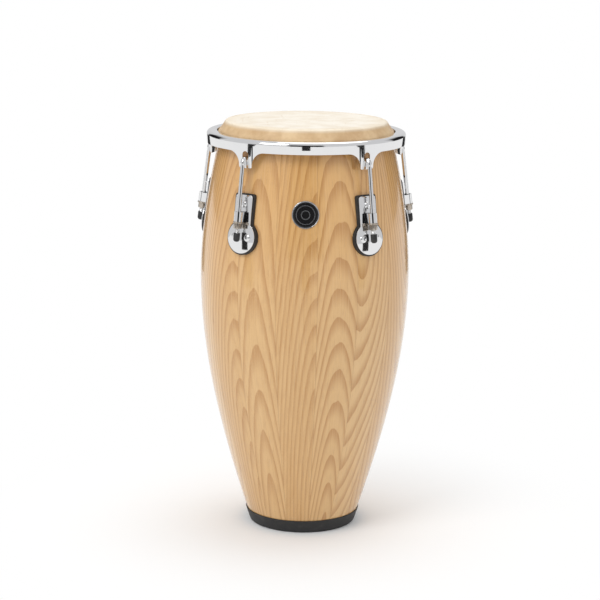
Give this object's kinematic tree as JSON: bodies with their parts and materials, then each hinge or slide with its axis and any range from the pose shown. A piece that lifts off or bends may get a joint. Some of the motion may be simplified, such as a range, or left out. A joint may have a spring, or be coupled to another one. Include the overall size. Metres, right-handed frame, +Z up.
{
  "type": "conga drum",
  "caption": "Tall barrel-shaped wooden stave hand drum with a hide head, a chrome rim pulled down by hooked tuning rods, bolted side plates and a rubber foot ring.",
  "frame": {"origin": "middle of the drum's footprint on the floor; the drum's axis stands 9.9 mm in front of it, because the rear lug reaches further out than the belly", "axes": "+Z up along the drum's axis, -Y towards the front where the badge is"},
  "size_m": [0.406, 0.407, 0.762],
  "materials": {
    "ash": "clear gloss lacquer",
    "rubber": "moulded, matt",
    "hide": "dry rawhide",
    "hoop_steel": "bare steel",
    "chrome": "polished chrome plate",
    "zinc": "zinc plated",
    "badge_metal": "satin",
    "enamel": "black enamel"
  },
  "bodies": {
    "root": {"stave_01": "ash", "stave_02": "ash", "stave_03": "ash", "stave_04": "ash", "stave_05": "ash", "stave_06": "ash", "stave_07": "ash", "stave_08": "ash", "stave_09": "ash", "stave_10": "ash", "stave_11": "ash", "stave_12": "ash", "stave_13": "ash", "stave_14": "ash", "stave_15": "ash", "stave_16": "ash", "foot_ring": "rubber", "head_skin": "hide", "badge": "badge_metal", "badge_inlay": "enamel", "side_plate_1": "chrome", "side_plate_2": "chrome", "side_plate_3": "chrome", "side_plate_4": "chrome", "side_plate_5": "chrome", "gasket_1": "rubber", "gasket_2": "rubber", "gasket_3": "rubber", "gasket_4": "rubber", "gasket_5": "rubber", "plate_bolts_1": "zinc", "plate_bolts_2": "zinc", "plate_bolts_3": "zinc", "plate_bolts_4": "zinc", "plate_bolts_5": "zinc", "strap_washer_1": "zinc", "strap_washer_2": "zinc", "strap_washer_3": "zinc", "strap_washer_4": "zinc", "strap_washer_5": "zinc"},
    "rim_body": {"rim": "chrome", "flesh_hoop": "hoop_steel", "skin_wrap": "hide"},
    "rod_1": {"tuning_rod_1": "chrome", "end_cap_1": "rubber"},
    "rod_2": {"tuning_rod_2": "chrome", "end_cap_2": "rubber"},
    "rod_3": {"tuning_rod_3": "chrome", "end_cap_3": "rubber"},
    "rod_4": {"tuning_rod_4": "chrome", "end_cap_4": "rubber"},
    "rod_5": {"tuning_rod_5": "chrome", "end_cap_5": "rubber"},
    "nut_1": {"tuning_nut_1": "zinc"},
    "nut_2": {"tuning_nut_2": "zinc"},
    "nut_3": {"tuning_nut_3": "zinc"},
    "nut_4": {"tuning_nut_4": "zinc"},
    "nut_5": {"tuning_nut_5": "zinc"}
  },
  "joints": [
    {"name": "rim_slide", "type": "slide", "parent": "root", "child": "rim_body", "axis": [0, 0, -1], "range_m": [0, 0.004]},
    {"name": "rod_1_slide", "type": "slide", "parent": "root", "child": "rod_1", "axis": [-0.0782, -0.1077, -0.9911], "range_m": [0, 0.00405]},
    {"name": "rod_2_slide", "type": "slide", "parent": "root", "child": "rod_2", "axis": [0.0782, -0.1077, -0.9911], "range_m": [0, 0.00405]},
    {"name": "rod_3_slide", "type": "slide", "parent": "root", "child": "rod_3", "axis": [0.1266, 0.0411, -0.9911], "range_m": [0, 0.00405]},
    {"name": "rod_4_slide", "type": "slide", "parent": "root", "child": "rod_4", "axis": [0, 0.1331, -0.9911], "range_m": [0, 0.00405]},
    {"name": "rod_5_slide", "type": "slide", "parent": "root", "child": "rod_5", "axis": [-0.1266, 0.0411, -0.9911], "range_m": [0, 0.00405]},
    {"name": "nut_1_turn", "type": "hinge", "parent": "root", "child": "nut_1", "pos_m": [-0.12001, -0.17507, 0.59453], "axis": [0.0782, 0.1077, 0.9911], "range_deg": [0, 1170]},
    {"name": "nut_2_turn", "type": "hinge", "parent": "root", "child": "nut_2", "pos_m": [0.12001, -0.17507, 0.59453], "axis": [-0.0782, 0.1077, 0.9911], "range_deg": [0, 1170]},
    {"name": "nut_3_turn", "type": "hinge", "parent": "root", "child": "nut_3", "pos_m": [0.19417, 0.05319, 0.59453], "axis": [-0.1266, -0.0411, 0.9911], "range_deg": [0, 1170]},
    {"name": "nut_4_turn", "type": "hinge", "parent": "root", "child": "nut_4", "pos_m": [0, 0.19426, 0.59453], "axis": [0, -0.1331, 0.9911], "range_deg": [0, 1170]},
    {"name": "nut_5_turn", "type": "hinge", "parent": "root", "child": "nut_5", "pos_m": [-0.19417, 0.05319, 0.59453], "axis": [0.1266, -0.0411, 0.9911], "range_deg": [0, 1170]}
  ],
  "couplings": [
    {"joint": "rod_1_slide", "follows": "rim_slide", "ratio": 1.009},
    {"joint": "rod_2_slide", "follows": "rim_slide", "ratio": 1.009},
    {"joint": "rod_3_slide", "follows": "rim_slide", "ratio": 1.009},
    {"joint": "rod_4_slide", "follows": "rim_slide", "ratio": 1.009},
    {"joint": "rod_5_slide", "follows": "rim_slide", "ratio": 1.009},
    {"joint": "nut_1_turn", "follows": "rim_slide", "rad_per_m": 5071.7},
    {"joint": "nut_2_turn", "follows": "rim_slide", "rad_per_m": 5071.7},
    {"joint": "nut_3_turn", "follows": "rim_slide", "rad_per_m": 5071.7},
    {"joint": "nut_4_turn", "follows": "rim_slide", "rad_per_m": 5071.7},
    {"joint": "nut_5_turn", "follows": "rim_slide", "rad_per_m": 5071.7}
  ]
}
